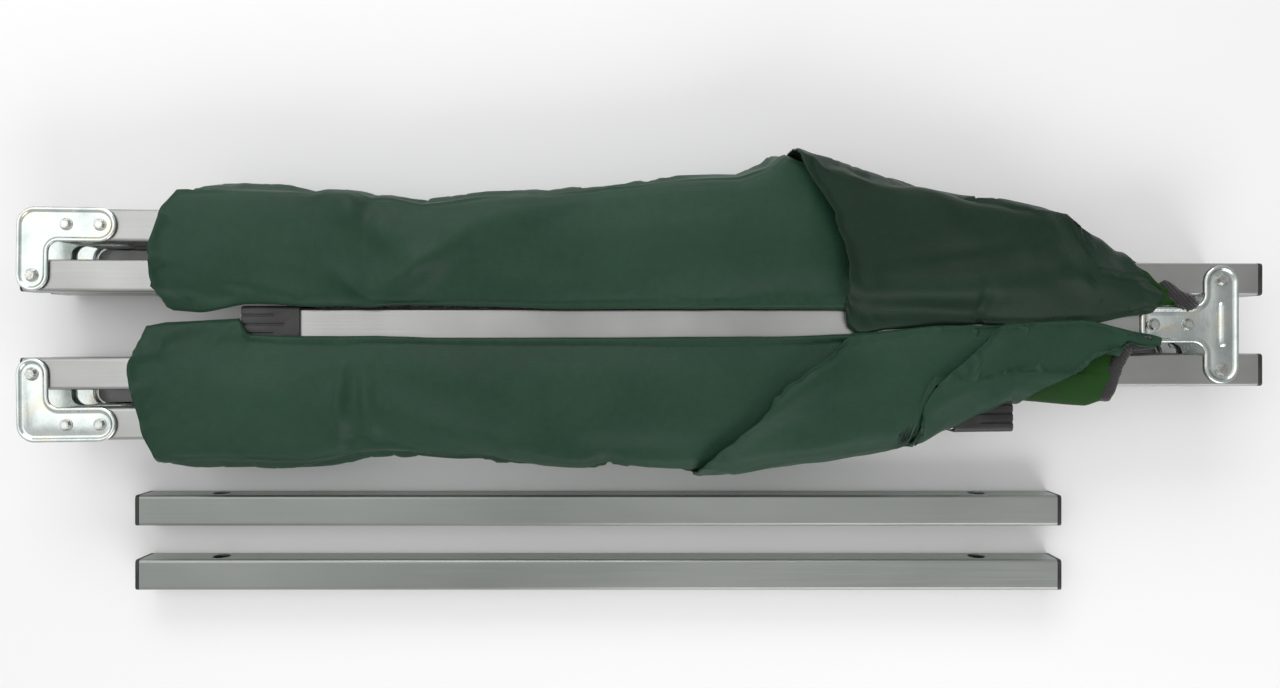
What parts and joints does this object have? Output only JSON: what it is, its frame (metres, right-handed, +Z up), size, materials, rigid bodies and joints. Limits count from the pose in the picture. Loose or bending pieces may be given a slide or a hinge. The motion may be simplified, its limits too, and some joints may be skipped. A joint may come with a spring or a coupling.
{
  "type": "folding cot",
  "caption": "Camp cot folded flat: two tube side frames on L and T brackets, green coated canvas rolled round each half, and loose end bars.",
  "frame": {"origin": "centre of the whole object's footprint, on the floor", "axes": "+X along the folded bundle towards the T brackets, +Y from the loose end bars towards half A, +Z up from the floor it lies on"},
  "size_m": [0.9614, 0.354, 0.0882],
  "materials": {
    "tube_aluminium": "drawn tube, faint lengthwise brushing, satin",
    "zinc_steel": "pressed steel, bright zinc plate with a faint blue-green cast",
    "rivet_steel": "zinc plated rivet",
    "black_plastic": "moulded, satin, ribbed on the feet",
    "green_canvas": "tightly woven polyester with a waterproof coating, soft sheen"
  },
  "bodies": {
    "legs_b": {"corner_b_front_outer_plate": "zinc_steel", "corner_b_front_inner_plate": "zinc_steel", "corner_b_back_outer_plate": "zinc_steel", "corner_b_back_inner_plate": "zinc_steel", "corner_b_hinge_front": "rivet_steel", "corner_b_hinge_back": "rivet_steel", "leg_b_front": "tube_aluminium", "leg_b_back": "tube_aluminium", "leg_b_foot_front": "black_plastic", "leg_b_foot_back": "black_plastic", "leg_b_cross_pin_bracket": "zinc_steel", "leg_b_cross_eye_bracket": "zinc_steel"},
    "rail_b": {"rail_b_front": "tube_aluminium", "rail_b_back": "tube_aluminium", "rail_b_cap_front": "black_plastic", "rail_b_cap_back": "black_plastic", "rail_b_peg_front": "black_plastic", "rail_b_peg_back": "black_plastic", "deck_roll_b": "green_canvas"},
    "center": {"tee_front_outer_plate": "zinc_steel", "tee_front_inner_plate": "zinc_steel", "tee_back_outer_plate": "zinc_steel", "tee_back_inner_plate": "zinc_steel", "tee_hinge_a_front": "rivet_steel", "tee_hinge_a_back": "rivet_steel", "tee_hinge_b_front": "rivet_steel", "tee_hinge_b_back": "rivet_steel", "leg_mid_front": "tube_aluminium", "leg_mid_back": "tube_aluminium", "leg_mid_foot_front": "black_plastic", "leg_mid_foot_back": "black_plastic", "leg_mid_cross_pin_bracket": "zinc_steel", "leg_mid_cross_eye_bracket": "zinc_steel"},
    "rail_a": {"rail_a_front": "tube_aluminium", "rail_a_back": "tube_aluminium", "rail_a_cap_front": "black_plastic", "rail_a_cap_back": "black_plastic", "rail_a_peg_front": "black_plastic", "rail_a_peg_back": "black_plastic", "deck_roll_a": "green_canvas"},
    "legs_a": {"corner_a_front_outer_plate": "zinc_steel", "corner_a_front_inner_plate": "zinc_steel", "corner_a_back_outer_plate": "zinc_steel", "corner_a_back_inner_plate": "zinc_steel", "corner_a_hinge_front": "rivet_steel", "corner_a_hinge_back": "rivet_steel", "leg_a_front": "tube_aluminium", "leg_a_back": "tube_aluminium", "leg_a_foot_front": "black_plastic", "leg_a_foot_back": "black_plastic", "leg_a_cross_pin_bracket": "zinc_steel", "leg_a_cross_eye_bracket": "zinc_steel"},
    "end_bar_1": {"end_bar_1": "tube_aluminium", "end_bar_1_cap_left": "black_plastic", "end_bar_1_cap_right": "black_plastic"},
    "end_bar_2": {"end_bar_2": "tube_aluminium", "end_bar_2_cap_left": "black_plastic", "end_bar_2_cap_right": "black_plastic"}
  },
  "joints": [
    {"name": "rail_b_fold", "type": "hinge", "parent": "legs_b", "child": "rail_b", "pos_m": [-0.4667, 0.00098, 0.0337], "axis": [0, 0, 1], "range_deg": [0, 270.5], "deforming": ["deck_roll_b"]},
    {"name": "center_fold", "type": "hinge", "parent": "rail_b", "child": "center", "pos_m": [0.4483, 0.004, 0.0337], "axis": [0, 0, 1], "range_deg": [-90, 0]},
    {"name": "rail_a_fold", "type": "hinge", "parent": "center", "child": "rail_a", "pos_m": [0.4483, 0.074, 0.0337], "axis": [0, 0, 1], "range_deg": [-90, 0], "deforming": ["deck_roll_a"]},
    {"name": "legs_a_fold", "type": "hinge", "parent": "rail_a", "child": "legs_a", "pos_m": [-0.4667, 0.07702, 0.0337], "axis": [0, 0, 1], "range_deg": [0, 271]},
    {"name": "end_bar_1_lift", "type": "slide", "parent": "legs_b", "child": "end_bar_1", "axis": [0, 0, 1], "range_m": [0, 0.25]},
    {"name": "end_bar_2_lift", "type": "slide", "parent": "legs_b", "child": "end_bar_2", "axis": [0, 0, 1], "range_m": [0, 0.25]}
  ],
  "couplings": [
    {"joint": "center_fold", "follows": "rail_b_fold", "ratio": -0.332},
    {"joint": "rail_a_fold", "follows": "rail_b_fold", "ratio": -0.332},
    {"joint": "legs_a_fold", "follows": "rail_b_fold", "ratio": 1}
  ]
}
